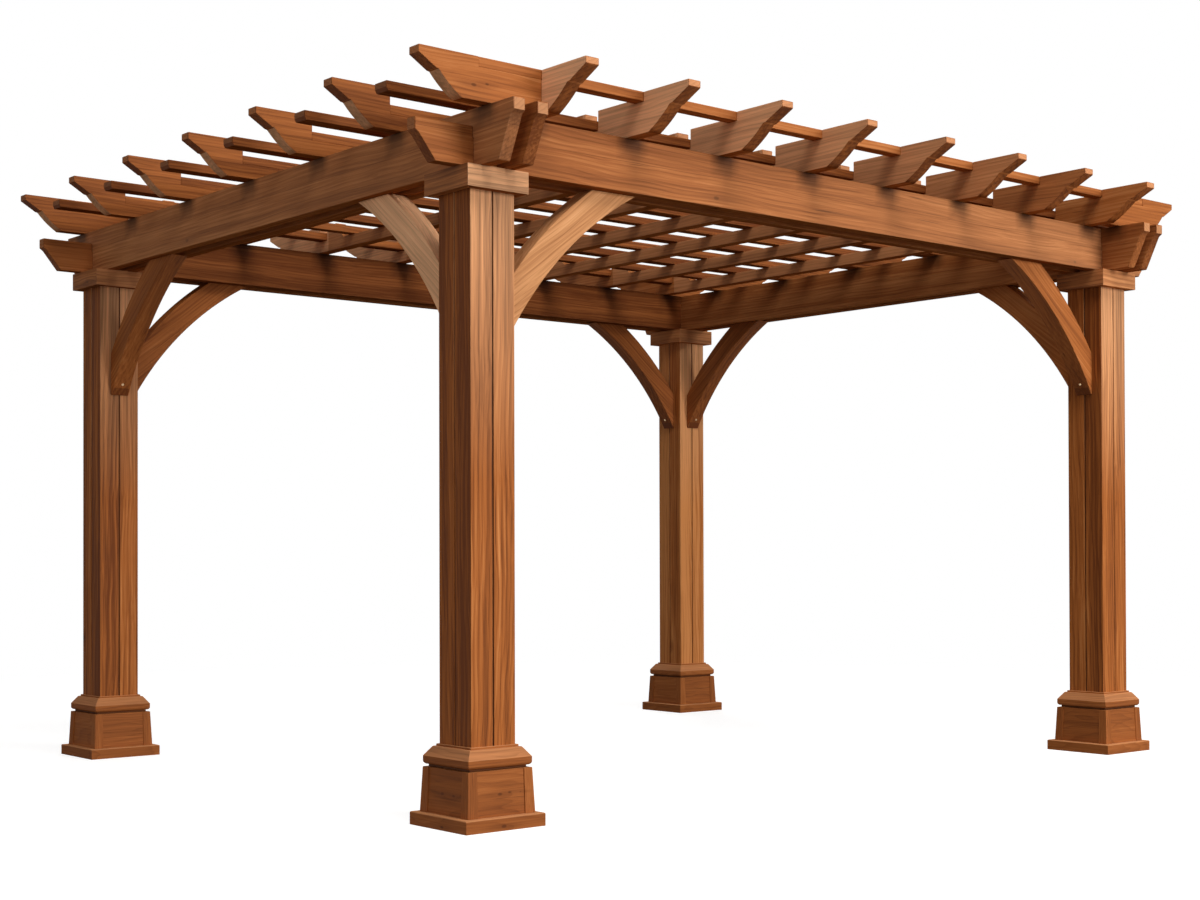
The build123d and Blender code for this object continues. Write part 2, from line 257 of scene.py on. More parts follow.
@dataclass(frozen=True)
class WoodFinish:
    """An oiled softwood whose pattern follows each board's own fibres.

    The grain attribute gives the place along and across the fibres in metres. The board
    attribute gives each board's tone and figure, the dark of its joints together with painted
    shade and painted shadow, and its share of painted light, and the end attribute marks the sawn ends.
    """

    name: str
    light: Rgb = (202, 136, 83)
    middle: Rgb = (165, 97, 48)
    dark: Rgb = (108, 57, 25)
    line: Rgb = (62, 30, 12)
    # Dark of the joints, and of the painted shade and shadow laid on with it.
    groove: Rgb = (40, 19, 9)
    bleached: Rgb = (226, 174, 130)
    bleached_relief: float = 1.1
    streak: float = 1.0
    bands: float = BANDS.across
    line_share: float = 0.6
    line_range: tuple[float, float] = (0.32, 0.2)
    end_calm: float = 0.75
    ring_spacing: float = 0.014
    ring_depth: float = 1.0
    ring_share: float = 0.3
    ring_rise: float = 2.6
    ring_edge: float = 0.93
    heart_aside: float = 0.22
    heart_below: float = 0.05
    taper: float = 0.02
    drift_scale: Triple = (1.3, 5.0, 5.0)
    drift_reach: Triple = (0.0, 0.045, 0.045)
    knots: float = 0.3
    knot_cells: Triple = (1.9, 7.5, 7.5)
    knot_radius: float = 0.006
    knot_growth: float = 0.03
    knot_round: Triple = (0.6, 1.0, 1.0)
    knot_wake: Triple = (0.25, 1.0, 1.0)
    knot_push: Triple = (0.0, -0.8, -0.8)
    knot_share: float = 0.9
    halo_share: float = 0.45
    spots: tuple[Knot, ...] = ()
    spot_share: float = 0.65
    roughness: float = 0.6
    roughness_spread: float = 0.18
    gloss: float = 0.1
    gloss_angles: tuple[float, float] = (0.8, 0.35)
    bump: float = 0.35
    bump_height: float = 0.0006

    def material(self) -> bpy.types.Material:
        """Build the wood's shader.

        Returns:
            The finished material.
        """
        material = bpy.data.materials.new(self.name)
        graph = Graph(material)
        board = graph.add("Attribute", attribute_name="board")
        tone, figure, shade = graph.split(board.outputs["Vector"])
        place, knot, halo = self.warped(graph)
        knot, halo = self.spotted(graph, knot, halo)
        rings = self.rings(graph, place, figure)
        fine = graph.streaks(place, FINE)
        end = graph.add("Attribute", attribute_name="end").outputs["Fac"]
        calm = graph.math("MULTIPLY_ADD", end, -self.end_calm, 1.0)
        level = self.level(graph, place, fine, graph.math("MULTIPLY", rings, self.ring_depth), calm, tone)
        lines = graph.smooth(graph.streaks(place, THIN_LINES), *self.line_range)
        lines = graph.math("MULTIPLY", lines, graph.math("MULTIPLY", calm, self.line_share))
        halo = graph.math("MULTIPLY", halo, self.halo_share)
        knot = graph.math("MULTIPLY", knot, self.knot_share)
        colour = self.ramp(graph, level)
        for share, mark in ((lines, self.line), (halo, self.dark), (knot, self.line)):
            colour = graph.mix(share, colour, linear(*mark))
        # Paler by the board's share of painted light, then darker at joints and by painted shade and shadow.
        above = graph.math("SUBTRACT", level, tone)
        relief = graph.math("MULTIPLY_ADD", above, self.bleached_relief, 1.0)
        bleached = graph.vector("MULTIPLY", linear(*self.bleached)[:3], graph.join(relief, relief, relief))
        colour = graph.mix(board.outputs["Alpha"], colour, bleached)
        colour = graph.mix(shade, colour, linear(*self.groove))
        self.surface(graph, colour, rings, fine)
        return material

    def surface(self, graph: Graph, colour: Socket, rings: Socket, fine: Socket) -> None:
        """Give the wood its sheen, which fades where it is seen edge on, and its raised grain.

        Args:
            graph: Material to add to.
            colour: The wood's colour.
            rings: Its growth rings.
            fine: Its finest streaks.
        """
        height = graph.math("MULTIPLY_ADD", rings, -0.5, graph.math("MULTIPLY", fine, 0.8))
        bump = graph.add("Bump", {"Height": height, "Strength": self.bump, "Distance": self.bump_height})
        smoothest = self.roughness - self.roughness_spread / 2
        edge_on = graph.add("LayerWeight").outputs["Facing"]
        sheen = graph.math("MULTIPLY", graph.smooth(edge_on, *self.gloss_angles), self.gloss)
        inputs = {
            "Base Color": colour,
            "Roughness": graph.math("MULTIPLY_ADD", fine, self.roughness_spread, smoothest),
            "Normal": bump.outputs[0],
            "Specular IOR Level": sheen,
        }
        graph.show(graph.add("BsdfPrincipled", inputs))

    def level(
        self, graph: Graph, place: Socket, fine: Socket, rings: Socket, calm: Socket, tone: Socket
    ) -> Socket:
        """Lay the streaks and the rings over a board's tone.

        Args:
            graph: Material to add to.
            place: Place along, across and through the board.
            fine: The finest streaks.
            rings: The growth rings, as deep as they show.
            calm: How much the streaks show, less on sawn ends.
            tone: The board's tone.

        Returns:
            0 at the darkest and 1 at the lightest wood.
        """
        layers = (
            (graph.streaks(place, BROAD), BROAD),
            (graph.streaks(place, replace(BANDS, across=self.bands)), BANDS),
            (fine, FINE),
        )
        level: object = 0.0
        for noise, layer in layers:
            above = graph.math("SUBTRACT", noise, 0.5)
            level = graph.math("MULTIPLY_ADD", above, layer.strength * self.streak, level)
        level = graph.math("MULTIPLY_ADD", level, calm, tone)
        return graph.math("MULTIPLY_ADD", rings, -self.ring_share * self.streak, level)

    def warped(self, graph: Graph) -> tuple[Socket, Socket, Socket]:
        """Bend the fibres gently and lead them round the knots.

        Args:
            graph: Material to add to.

        Returns:
            Place along, across and through the board, the knots and the dark halo round them.
        """
        place = graph.add("Attribute", attribute_name="grain").outputs["Vector"]
        slow = graph.vector("MULTIPLY", place, self.drift_scale)
        drift = graph.add("TexNoise", {"Vector": slow, "Scale": 1.0}).outputs["Color"]
        drift = graph.vector("MULTIPLY", graph.vector("SUBTRACT", drift, (0.5, 0.5, 0.5)), self.drift_reach)
        bent = graph.vector("ADD", place, drift)
        scaled = graph.vector("MULTIPLY", bent, self.knot_cells)
        cells = graph.add("TexVoronoi", {"Vector": scaled, "Scale": 1.0, "Randomness": 0.9}).outputs
        offset = graph.vector("DIVIDE", graph.vector("SUBTRACT", scaled, cells["Position"]), self.knot_cells)
        chance = graph.split(cells["Color"])[0]
        chosen = graph.math("LESS_THAN", chance, self.knots)
        size = graph.math("MULTIPLY_ADD", chance, self.knot_growth, self.knot_radius)
        near = graph.length(graph.vector("MULTIPLY", offset, self.knot_round))
        near = graph.math("DIVIDE", near, size)
        wake = graph.length(graph.vector("MULTIPLY", offset, self.knot_wake))
        wake = graph.math("DIVIDE", wake, size)
        knot = graph.math("MULTIPLY", graph.smooth(near, 1.0, 0.55), chosen)
        halo = graph.math("MULTIPLY", graph.smooth(near, 2.6, 0.8), chosen)
        pull = graph.math("MULTIPLY", graph.smooth(wake, 3.6, 0.3), chosen)
        push = graph.vector("MULTIPLY", offset, self.knot_push)
        led = graph.add("VectorMath", {0: push, "Scale": pull}, operation="SCALE").outputs["Vector"]
        return graph.vector("ADD", bent, led), knot, halo

    def spotted(self, graph: Graph, knot: Socket, halo: Socket) -> tuple[Socket, Socket]:
        """Add the knots whose places are known, each with a long dark wake.

        Args:
            graph: Material to add to.
            knot: The chance knots.
            halo: The dark wood round them.

        Returns:
            All the knots and all the dark wood round them.
        """
        here = graph.add("TexCoord").outputs["Object"]

        def mark(spot: Knot, slim: float, near: float, far: float) -> Socket:
            """Return 1 up to near from a knot and 0 beyond far, in radii, longer along its fibres."""
            scale = tuple(slim if way else 1.0 for way in spot.fibre.vector)
            flat = graph.vector("MULTIPLY", graph.vector("SUBTRACT", here, spot.place), scale)
            return graph.smooth(graph.math("DIVIDE", graph.length(flat), spot.radius), far, near)

        for spot in self.spots:
            core = graph.math("MULTIPLY", mark(spot, 0.5, 0.5, 1.0), self.spot_share)
            knot = graph.math("MAXIMUM", knot, core)
            halo = graph.math("MAXIMUM", halo, mark(spot, 0.14, 0.4, 2.4))
        return knot, halo

    def rings(self, graph: Graph, place: Socket, figure: Socket) -> Socket:
        """Cut the board from a slightly tapering trunk and find its growth rings.

        Args:
            graph: Material to add to.
            place: Place along, across and through the board.
            figure: How far the trunk's heart lies from the board.

        Returns:
            A value that rises slowly to 1 at each ring's dark late wood.
        """
        along, across, depth = graph.split(place)
        aside = graph.math("POWER", graph.math("MULTIPLY_ADD", figure, self.heart_aside, across), 2.0)
        below = graph.math("POWER", graph.math("ADD", depth, self.heart_below), 2.0)
        radius = graph.math("SQRT", graph.math("ADD", aside, below))
        wander = graph.streaks(place, RING_WANDER)
        radius = graph.math("MULTIPLY_ADD", wander, RING_WANDER.strength, radius)
        radius = graph.math("MULTIPLY_ADD", along, self.taper, radius)
        turn = graph.math("FRACT", graph.math("DIVIDE", radius, self.ring_spacing))
        rise = graph.math("POWER", turn, self.ring_rise)
        return graph.math("MULTIPLY", rise, graph.smooth(turn, 1.0, self.ring_edge))

    def ramp(self, graph: Graph, level: Socket) -> Socket:
        """Turn a level into the wood's colours.

        Args:
            graph: Material to add to.
            level: 0 at the darkest and 1 at the lightest wood.

        Returns:
            The colour.
        """
        ramp = graph.add("ValToRGB", {0: level})
        stops = ramp.color_ramp.elements
        stops[0].position, stops[0].color = 0.08, linear(*self.dark)
        stops[1].position, stops[1].color = 0.95, linear(*self.light)
        stops.new(0.52).color = linear(*self.middle)
        return ramp.outputs["Color"]


@dataclass(frozen=True)
class MetalFinish:
    """Plated steel of the screw heads."""

    name: str = "plated_steel"
    bright: Rgb = (206, 176, 138)
    dull: Rgb = (172, 146, 112)
    mottle: float = 700.0
    roughness: float = 0.32
    roughness_spread: float = 0.2

    def material(self) -> bpy.types.Material:
        """Build the metal's shader, slightly uneven as plating is.

        Returns:
            The finished material.
        """
        material = bpy.data.materials.new(self.name)
        graph = Graph(material)
        place = graph.add("TexCoord").outputs["Object"]
        grey = graph.noise(graph.vector("MULTIPLY", place, (self.mottle,) * 3), 2.0)
        smoothest = self.roughness - self.roughness_spread / 2
        inputs = {
            "Base Color": graph.mix(grey, linear(*self.bright), linear(*self.dull)),
            "Roughness": graph.math("MULTIPLY_ADD", grey, self.roughness_spread, smoothest),
            "Metallic": 1.0,
        }
        graph.show(graph.add("BsdfPrincipled", inputs))
        return material


POST_WOOD = WoodFinish(
    "post_wood", light=(203, 134, 77), middle=(165, 95, 43), dark=(108, 56, 22), streak=0.9
)
PLINTH_WOOD = WoodFinish(
    "plinth_wood", light=(186, 116, 63), middle=(150, 86, 41), dark=(104, 55, 24),
    bleached=(216, 154, 106), ring_spacing=0.006, streak=0.5, ring_depth=1.2, bands=170.0,
    spots=PLINTH_KNOTS,
)
BEAM_WOOD = WoodFinish("beam_wood", middle=(160, 95, 49), streak=0.6, bands=95.0, spots=BEAM_KNOTS)
# A paler copy of the brace wood for the near corner's braces: painted light.
LIT_BRACE_WOOD = WoodFinish(
    "pale_wood", light=(229, 178, 132), middle=(199, 142, 94), dark=(152, 97, 57), knots=0.0,
    bleached=(254, 196, 148), streak=0.6, bands=95.0,
)
BRACE_WOOD = WoodFinish("brace_wood", knots=0.0, streak=0.55, bands=95.0)
RAFTER_WOOD = WoodFinish(
    "rafter_wood", bleached=(247, 187, 140), streak=0.6, knots=0.2, spots=TAIL_KNOTS
)


@dataclass(frozen=True)
class Board:
    """One board of a timber: its fibres, and what sets it off from the others.

    The tone runs from 0, dark, to 1, light, and chance moves it by up to tone_range. Painted light
    makes the board paler: by bleach all over, by up to sunned where it faces front
    and stands high, and by up to fade towards the right. Its sloped undersides have the
    tone changed by slopes, which is painted shade.
    """

    key: str
    along: Vector
    across: Vector
    tone: float = 0.5
    tone_range: float = 0.09
    bleach: float = 0.0
    sunned: float = 0.0
    fade: float = 0.0
    slopes: float = -0.25

    def chance(self) -> tuple[Vector, float, float]:
        """Draw what chance gives the board, always the same for the same key.

        Returns:
            A place in the endless trunk and the board's tone and figure.
        """
        dice = random.Random(self.key)
        offset = Vector((dice.uniform(0, 40), dice.uniform(-0.04, 0.04), dice.uniform(0, 0.06)))
        return offset, self.tone + dice.uniform(-1.0, 1.0) * self.tone_range, dice.random()


@dataclass(frozen=True)
class Patch:
    """One face of a timber: the name of its solid, its centre and its normal."""

    solid: str
    centre: Vector
    normal: Vector


Chooser = Callable[[Patch], Board]


def place_key(place: Vector) -> tuple[int, int, int]:
    """Return a place in whole millimetres."""
    return round(place.x * 1000), round(place.y * 1000), round(place.z * 1000)


def sun(place: Vector, normal: Vector) -> float:
    """Return the share of painted light on a face turned to the front, more the higher it is."""
    rise = min(1.0, max(0.0, (place.z - TOP_LIGHT_LOW) / (TOP_LIGHT_HIGH - TOP_LIGHT_LOW)))
    return rise * max(0.0, -normal.y)


def make_piece(name: str, bm: bmesh.types.BMesh, material: bpy.types.Material) -> bpy.types.Object:
    """Put a mesh into the scene.

    Args:
        name: Name of the piece.
        bm: Its mesh, which is used up.
        material: Its material.

    Returns:
        The piece.
    """
    mesh = bpy.data.meshes.new(name)
    bm.to_mesh(mesh)
    bm.free()
    mesh.materials.append(material)
    piece = bpy.data.objects.new(name, mesh)
    bpy.context.scene.collection.objects.link(piece)
    log.info("%s: %d faces", name, len(mesh.polygons))
    return piece


class Timber:
    """The solids of one frame node as welded timber with rounded edges and mapped fibres."""

    def __init__(self, node: str) -> None:
        """Copy and weld a node's mesh.

        Args:
            node: Name of the frame node.
        """
        self.node = node
        self.bm = bmesh.new()
        self.bm.from_mesh(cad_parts[node].data)
        bmesh.ops.remove_doubles(self.bm, verts=self.bm.verts, dist=WELD)
        bmesh.ops.dissolve_limit(
            self.bm, angle_limit=FLAT_ANGLE, verts=self.bm.verts, edges=self.bm.edges
        )
        self.shades: dict[tuple[int, int, int], float] = {}

    def cut(self, place: Vector, normal: Vector) -> None:
        """Score the surface along the plane through a place, without parting it."""
        geom = self.bm.verts[:] + self.bm.edges[:] + self.bm.faces[:]
        bmesh.ops.bisect_plane(self.bm, geom=geom, dist=WELD, plane_co=place, plane_no=normal)

    def shade(self, vert: bmesh.types.BMVert, share: float) -> None:
        """Darken the surface about one of its points by a share from 0 to 1."""
        self.shades[place_key(vert.co)] = share

    def round_edges(
        self, width: float, sharper_than: float = 50.0, segments: int = 2, along: Fibre | None = None
    ) -> None:
        """Round the outward edges that are sharper than an angle.

        Args:
            width: How far the rounding reaches from the edge.
            sharper_than: Least angle between the two faces, in degrees.
            segments: Faces across the rounding.
            along: Only the edges in this direction, if one is given.
        """
        least = math.radians(sharper_than)

        def chosen(edge: bmesh.types.BMEdge) -> bool:
            """Tell whether an edge is outward, sharp enough and in the direction asked for."""
            if len(edge.link_faces) != 2 or edge.calc_face_angle_signed() <= least:
                return False
            run = (edge.verts[0].co - edge.verts[1].co).normalized()
            return along is None or abs(run.dot(along.vector)) > 0.99

        bmesh.ops.bevel(
            self.bm, geom=[edge for edge in self.bm.edges if chosen(edge)], offset=width,
            affect="EDGES", segments=segments, profile=0.5, material=-1, clamp_overlap=True,
        )

    def islands(self) -> Iterator[tuple[str, list[bmesh.types.BMFace]]]:
        """Part the mesh into its loose solids.

        Yields:
            A name made from a solid's place, and its faces.
        """
        left = set(self.bm.faces)
        while left:
            stack = [left.pop()]
            faces = []
            while stack:
                face = stack.pop()
                faces.append(face)
                near = {other for edge in face.edges for other in edge.link_faces} & left
                left -= near
                stack.extend(near)
            centres = (face.calc_center_median() for face in faces)
            # The exact sum and the added zero keep the name the same in every run.
            middle = [round(math.fsum(row) / len(faces), 1) + 0.0 for row in zip(*centres)]
            yield f"{self.node}:{middle[0]},{middle[1]},{middle[2]}", faces

    def map_fibres(self, board_at: Chooser) -> None:
        """Give each face corner its place along and across the fibres and its board's looks.

        Args:
            board_at: Chooses the board of a face.
        """
        layers = self.bm.loops.layers
        layers.float_vector.new("grain")
        layers.float_color.new("board")
        layers.float.new("end")
        for name, faces in self.islands():
            for face in faces:
                self.map_face(face, board_at(Patch(name, face.calc_center_median(), face.normal)))

    def map_face(self, face: bmesh.types.BMFace, board: Board) -> None:
        """Give the corners of one face the values that the wood's shader reads.

        Args:
            face: The face.
            board: The board that it belongs to.
        """
        layers = self.bm.loops.layers
        grain, looks, end = layers.float_vector["grain"], layers.float_color["board"], layers.float["end"]
        through = board.along.cross(board.across)
        offset, tone, figure = board.chance()
        lean = abs(face.normal.dot(board.along))
        sawn = 1.0 if lean > SAWN_END else 0.0
        # Sloped undersides are toned darker as painted shade.
        if SLOPE < lean <= SAWN_END and face.normal.z < 0:
            tone += board.slopes
        # Sawn ends are paler, less so where they face left, which is painted shade.
        end_pale = sawn * (END_PALE if face.normal.x > -0.5 else LEFT_END_PALE)
        for loop in face.loops:
            place = loop.vert.co
            spot = Vector((place.dot(board.along), place.dot(board.across), place.dot(through)))
            # The paleness comes from the board's painted light, the paler sawn ends, and the painted light
            # on high front faces and towards the right.
            pale = max(board.bleach, end_pale) + board.sunned * sun(place, face.normal)
            # Painted light, growing towards the right as if from a lamp on that side.
            pale += board.fade * max(0.0, place.x / SPAN_HALF + 1) / 2
            loop[grain] = spot + offset
            loop[looks] = (tone, figure, self.shades.get(place_key(place), 0.0), pale)
            loop[end] = sawn

    def finish(self, material: bpy.types.Material, board_at: Chooser) -> None:
        """Make the piece that stands for the node.

        Args:
            material: Its wood.
            board_at: Chooses the board of a face.
        """
        self.map_fibres(board_at)
        for face in self.bm.faces:
            face.smooth = True
        for edge in self.bm.edges:
            edge.smooth = edge.calc_face_angle(math.pi) < SHARP_ANGLE
        piece = make_piece(self.node + "_timber", self.bm, material)
        shading = piece.modifiers.new("edge_shading", "WEIGHTED_NORMAL")
        shading.weight = 90
        shading.keep_sharp = True
        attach(piece, BODY)
        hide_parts(self.node)


def rafter_nodes() -> list[str]:
    """Return the names of the rafters' nodes from left to right."""
    return sorted(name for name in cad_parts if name.startswith("rafter_"))


def rafter_places() -> list[float]:
    """Return where the rafters' middles stand along X."""
    return [sum(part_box(name), Vector()).x / 2 for name in rafter_nodes()]


def row_places() -> list[float]:
    """Find the rows of tail boards.

    Returns:
        Where their middles stand along Y.
    """
    low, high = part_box("tail_boards_left")
    first = low.y + TAIL_THICKNESS / 2
    pitch = (high.y - low.y - TAIL_THICKNESS) / (ROW_COUNT - 1)
    return [first + pitch * row for row in range(ROW_COUNT)]


@dataclass(frozen=True)
class CornerLook:
    """Tones of one corner's boards and the painted light on them; the side faces are toned below the front
    ones as painted shade.
    """

    front_tone: float
    side_tone: float
    capital_sunned: float = 0.1
    brace_tone: float = 0.5
    brace_bleach: float = 0.0


# Side faces are toned darker than front faces as painted shade.
CORNER_LOOKS = {
    Side.LEFT_FRONT: CornerLook(0.5, 0.36, capital_sunned=0.55, brace_bleach=0.92),
    Side.RIGHT_FRONT: CornerLook(0.47, 0.43),
    Side.LEFT_BACK: CornerLook(0.45, 0.37),
    Side.RIGHT_BACK: CornerLook(0.92, 0.78, brace_tone=0.36),
}


@dataclass
class CornerPost:
    """A post with its seams, plinth, capital and braces."""

    side: Side
    wood: bpy.types.Material
    plinth_wood: bpy.types.Material
    brace_wood: bpy.types.Material
    metal: bpy.types.Material
    seam_width: float = 0.007
    seam_floor: float = 0.0028
    seam_depth: float = 0.004
    post_edge: float = 0.004
    trim_edge: float = 0.0022
    brace_edge: float = 0.005
    neck_height: float = 0.009
    neck_shade: float = 0.7
    stave_tone_range: float = 0.06
    stave_sunned: float = 0.62
    inner_stave_darker: float = 0.12
    ledge_bleach: float = 0.65
    capital_bleach: float = 0.14
    screw_rise: float = 0.048
    screw_radius: float = 0.0062
    screw_sides: int = 20
    screw_crown: tuple[tuple[float, float], ...] = ((0.0016, 1.0), (0.0009, 0.82), (0.0004, 0.55))
    screw_recess: float = 0.0012
    recess_rim: float = 0.0008
    look: CornerLook = field(init=False)
    centre: Vector = field(init=False)
    half: float = field(init=False)
    panel_half: float = field(init=False)

    def __post_init__(self) -> None:
        """Read the post's place from the frame."""
        self.look = CORNER_LOOKS[self.side]
        low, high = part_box(f"post_{self.side.label}")
        self.centre = (low + high) / 2
        self.half = (high.x - low.x) / 2
        low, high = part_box(f"plinth_box_{self.side.label}")
        self.panel_half = (high.x - low.x) / 4

    def build(self) -> None:
        """Make every piece of the corner."""
        self.post()
        self.plinth_board()
        self.plinth_box()
        self.plinth_collar()
        self.capital()
        self.braces()

    def post(self) -> None:
        """Make the post: four staves with a fine seam down the middle of each face."""
        timber = Timber(f"post_{self.side.label}")
        timber.cut(Vector((0, 0, TOP_LIGHT_LOW)), Fibre.Z.vector)
        for axis in (Fibre.X.vector, Fibre.Y.vector):
            for shift in (self.seam_floor / 2, self.seam_width / 2):
                timber.cut(self.centre + axis * shift, axis)
                timber.cut(self.centre - axis * shift, axis)
        floor = self.seam_floor / 2 + WELD
        for vert in timber.bm.verts:
            out = Vector((vert.co.x - self.centre.x, vert.co.y - self.centre.y))
            aside, reach = sorted((abs(out.x), abs(out.y)))
            if aside < floor and abs(reach - self.half) < WELD:
                axis = Fibre.X.vector if abs(out.x) > abs(out.y) else Fibre.Y.vector
                vert.co -= axis * math.copysign(self.seam_depth, axis.xy.dot(out))
                timber.shade(vert, 1.0)
        timber.round_edges(self.post_edge, sharper_than=80, along=Fibre.Z)
        timber.finish(self.wood, self.stave_at)

    def stave_at(self, patch: Patch) -> Board:
        """Choose the stave of a face: one for each quarter of the post.

        Args:
            patch: The face.

        Returns:
            The stave.
        """
        out = patch.centre - self.centre
        across = Fibre.X if abs(patch.normal.y) > abs(patch.normal.x) else Fibre.Y
        inner = out.x * out.y > 0
        side_tone = self.look.side_tone - self.inner_stave_darker * inner
        return Board(
            f"{self.side.label}{out.x > 0}{out.y > 0}{across.name}", Fibre.Z.vector, across.vector,
            tone=self.look.front_tone if across is Fibre.X else side_tone,
            tone_range=self.stave_tone_range, sunned=self.stave_sunned,
        )

    def split_mitres(self, timber: Timber) -> None:
        """Score a square moulding along its mitred corners."""
        for normal in (Vector((1, 1, 0)), Vector((1, -1, 0))):
            timber.cut(self.centre, normal.normalized())

    def moulding_at(self, patch: Patch) -> Board:
        """Choose the length of moulding of a face: one along each side of the post.

        Args:
            patch: The face.

        Returns:
            The length of moulding.
        """
        out = patch.centre - self.centre
        along = Fibre.X if abs(out.y) > abs(out.x) else Fibre.Y
        key = f"{patch.solid}{along.name}{out.x + out.y > 0}"
        # Faces turned upwards get painted light, as from above.
        return Board(key, along.vector, Fibre.Z.vector, bleach=self.ledge_bleach * max(0.0, patch.normal.z))

    def capital_at(self, patch: Patch) -> Board:
        """Choose the side of the capital that a face belongs to."""
        side = self.moulding_at(patch)
        # The capital gets painted light all over, and more on its high front faces.
        return replace(side, sunned=self.look.capital_sunned, bleach=self.capital_bleach)

    def plinth_board(self) -> None:
        """Make the flat board under the plinth."""
        timber = Timber(f"plinth_board_{self.side.label}")
        self.split_mitres(timber)
        timber.finish(self.plinth_wood, self.moulding_at)

    def plinth_collar(self) -> None:
        """Make the moulded collar over the plinth box, with painted shade on the neck under it."""
        timber = Timber(f"plinth_collar_{self.side.label}")
        self.split_mitres(timber)
        timber.round_edges(self.trim_edge, sharper_than=40)
        foot = min(vert.co.z for vert in timber.bm.verts)
        # Painted shade on the recessed neck under the collar.
        for vert in timber.bm.verts:
            if vert.co.z < foot + self.neck_height + WELD:
                timber.shade(vert, self.neck_shade)
        timber.finish(self.plinth_wood, self.moulding_at)

    def capital(self) -> None:
        """Make the square capital."""
        timber = Timber(f"capital_{self.side.label}")
        self.split_mitres(timber)
        timber.round_edges(self.trim_edge)
        timber.finish(self.wood, self.capital_at)

    def plinth_box(self) -> None:
        """Make the tapered box: upright stiles at the corners, level boards in the panels."""
        timber = Timber(f"plinth_box_{self.side.label}")
        timber.round_edges(self.trim_edge / 2)
        timber.finish(self.plinth_wood, self.panel_at)

    def panel_at(self, patch: Patch) -> Board:
        """Choose the stile or panel of a face of the plinth box.

        Args:
            patch: The face.

        Returns:
            The stile or panel.
        """
        out = patch.centre - self.centre
        across = Fibre.X if abs(patch.normal.y) > abs(patch.normal.x) else Fibre.Y
        aside = abs(out.x) if across is Fibre.X else abs(out.y)
        if aside < self.panel_half and abs(patch.normal.z) < 0.5:
            key = f"{patch.solid}panel{across.name}{out.x + out.y > 0}"
            return Board(key, across.vector, Fibre.Z.vector)
        key = f"{patch.solid}stile{out.x > 0}{out.y > 0}{across.name}"
        return Board(key, Fibre.Z.vector, across.vector)

    def braces(self) -> None:
        """Make the two arched braces, sawn from straight boards."""
        timber = Timber(f"braces_{self.side.label}")
        timber.round_edges(self.brace_edge, sharper_than=60)
        surface = BVHTree.FromBMesh(timber.bm)
        timber.finish(self.brace_wood, self.brace_at)
        for axis, sign in zip((Fibre.X, Fibre.Y), self.side.value):
            self.screw(surface, axis.vector * -sign, axis.name.lower())

    def brace_at(self, patch: Patch) -> Board:
        """Choose the brace of a face and lay its fibres along its chord.

        Args:
            patch: The face.

        Returns:
            The brace.
        """
        out = patch.centre - self.centre
        low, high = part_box(f"braces_{self.side.label}")
        along_x = abs(out.x) > abs(out.y)
        axis, sideways = (Fibre.X, Fibre.Y) if along_x else (Fibre.Y, Fibre.X)
        inward = -self.side.value[0 if along_x else 1]
        chord = (axis.vector * inward * (high.x - low.x) + Fibre.Z.vector * (high.z - low.z)).normalized()
        return Board(
            patch.solid, chord, chord.cross(sideways.vector).normalized(), tone=self.look.brace_tone,
            # At the near corner the brace along Y gets painted light.
            bleach=0.0 if along_x else self.look.brace_bleach,
        )

    def screw(self, surface: BVHTree, inward: Vector, name: str) -> None:
        """Set a pan-head screw into the hollow face of a brace near its toe.

        Args:
            surface: The faces of the post's braces.
            inward: Direction from the post along the brace.
            name: Letter of the brace's direction.
        """
        low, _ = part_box(f"braces_{self.side.label}")
        start = self.centre + inward * (self.half + 0.5)
        start.z = low.z + self.screw_rise
        place, normal, _, _ = surface.ray_cast(start, -inward)
        bm = bmesh.new()
        bmesh.ops.create_circle(
            bm, cap_ends=True, cap_tris=False, segments=self.screw_sides, radius=self.screw_radius
        )
        crown = bm.faces[:]
        for rise, shrink in self.screw_crown:
            crown = bmesh.ops.extrude_discrete_faces(bm, faces=crown)["faces"]
            bmesh.ops.translate(bm, verts=crown[0].verts, vec=(0, 0, rise))
            bmesh.ops.scale(bm, verts=crown[0].verts, vec=(shrink, shrink, 1))
        bmesh.ops.inset_region(bm, faces=crown, thickness=self.recess_rim, use_even_offset=True)
        bmesh.ops.translate(bm, verts=crown[0].verts, vec=(0, 0, -self.screw_recess))
        bmesh.ops.holes_fill(bm, edges=[edge for edge in bm.edges if edge.is_boundary], sides=0)
        bmesh.ops.recalc_face_normals(bm, faces=bm.faces)
        turn = normal.to_track_quat("Z", "Y").to_matrix().to_4x4()
        bmesh.ops.transform(bm, matrix=Matrix.Translation(place) @ turn, verts=bm.verts)
        piece = make_piece(f"screw_{self.side.label}_{name}", bm, self.metal)
        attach(piece, BODY)


@dataclass(frozen=True)
class PlankLook:
    """Tone of one plank, and the painted light on its outward faces."""

    tone: float = 0.5
    bleach: float = 0.0
    fade: float = 0.0


# The left outer plank's paleness and the front one's paleness towards the right are painted light; the back
# inner plank's low tone is painted shade under the roof.
PLANK_LOOKS = {
    "beam_front_outer": PlankLook(0.48, fade=0.17),
    "beam_left_outer": PlankLook(0.54, bleach=0.13),
    "beam_back_inner": PlankLook(0.28),
    "beam_right_inner": PlankLook(0.7),
}


